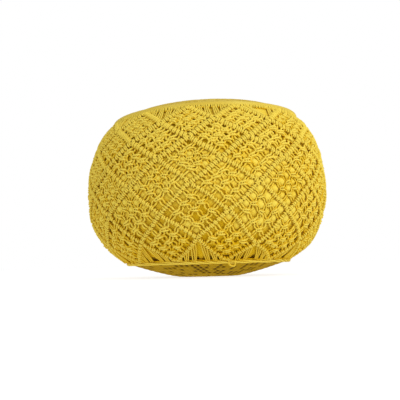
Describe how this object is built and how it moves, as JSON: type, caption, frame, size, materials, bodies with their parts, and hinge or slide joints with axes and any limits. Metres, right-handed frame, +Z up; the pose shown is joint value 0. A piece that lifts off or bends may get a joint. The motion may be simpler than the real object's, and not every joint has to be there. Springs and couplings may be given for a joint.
{
  "type": "round ottoman",
  "caption": "Round floor ottoman: a filled ball of a cushion inside a diamond net of knotted cord, closed by a dense knit disc at each end.",
  "frame": {"origin": "centre of the base, at floor height", "axes": "+Z up; the picture looks along +Y, with +X to its right"},
  "size_m": [0.5141, 0.5141, 0.366],
  "materials": {
    "liner_cloth": "smooth plain-weave cotton, mustard yellow",
    "net_cord": "knotted cotton cord, mustard yellow",
    "knit_disc": "dense fine knit cotton, mustard yellow",
    "rim_cord": "two-ply twisted cotton cord, mustard yellow"
  },
  "bodies": {
    "root": {"inner_cushion": "liner_cloth", "net_cover": "net_cord", "crown_disc": "knit_disc", "base_disc": "knit_disc", "top_rim_cord": "rim_cord", "base_rim_cord": "rim_cord"}
  },
  "joints": []
}
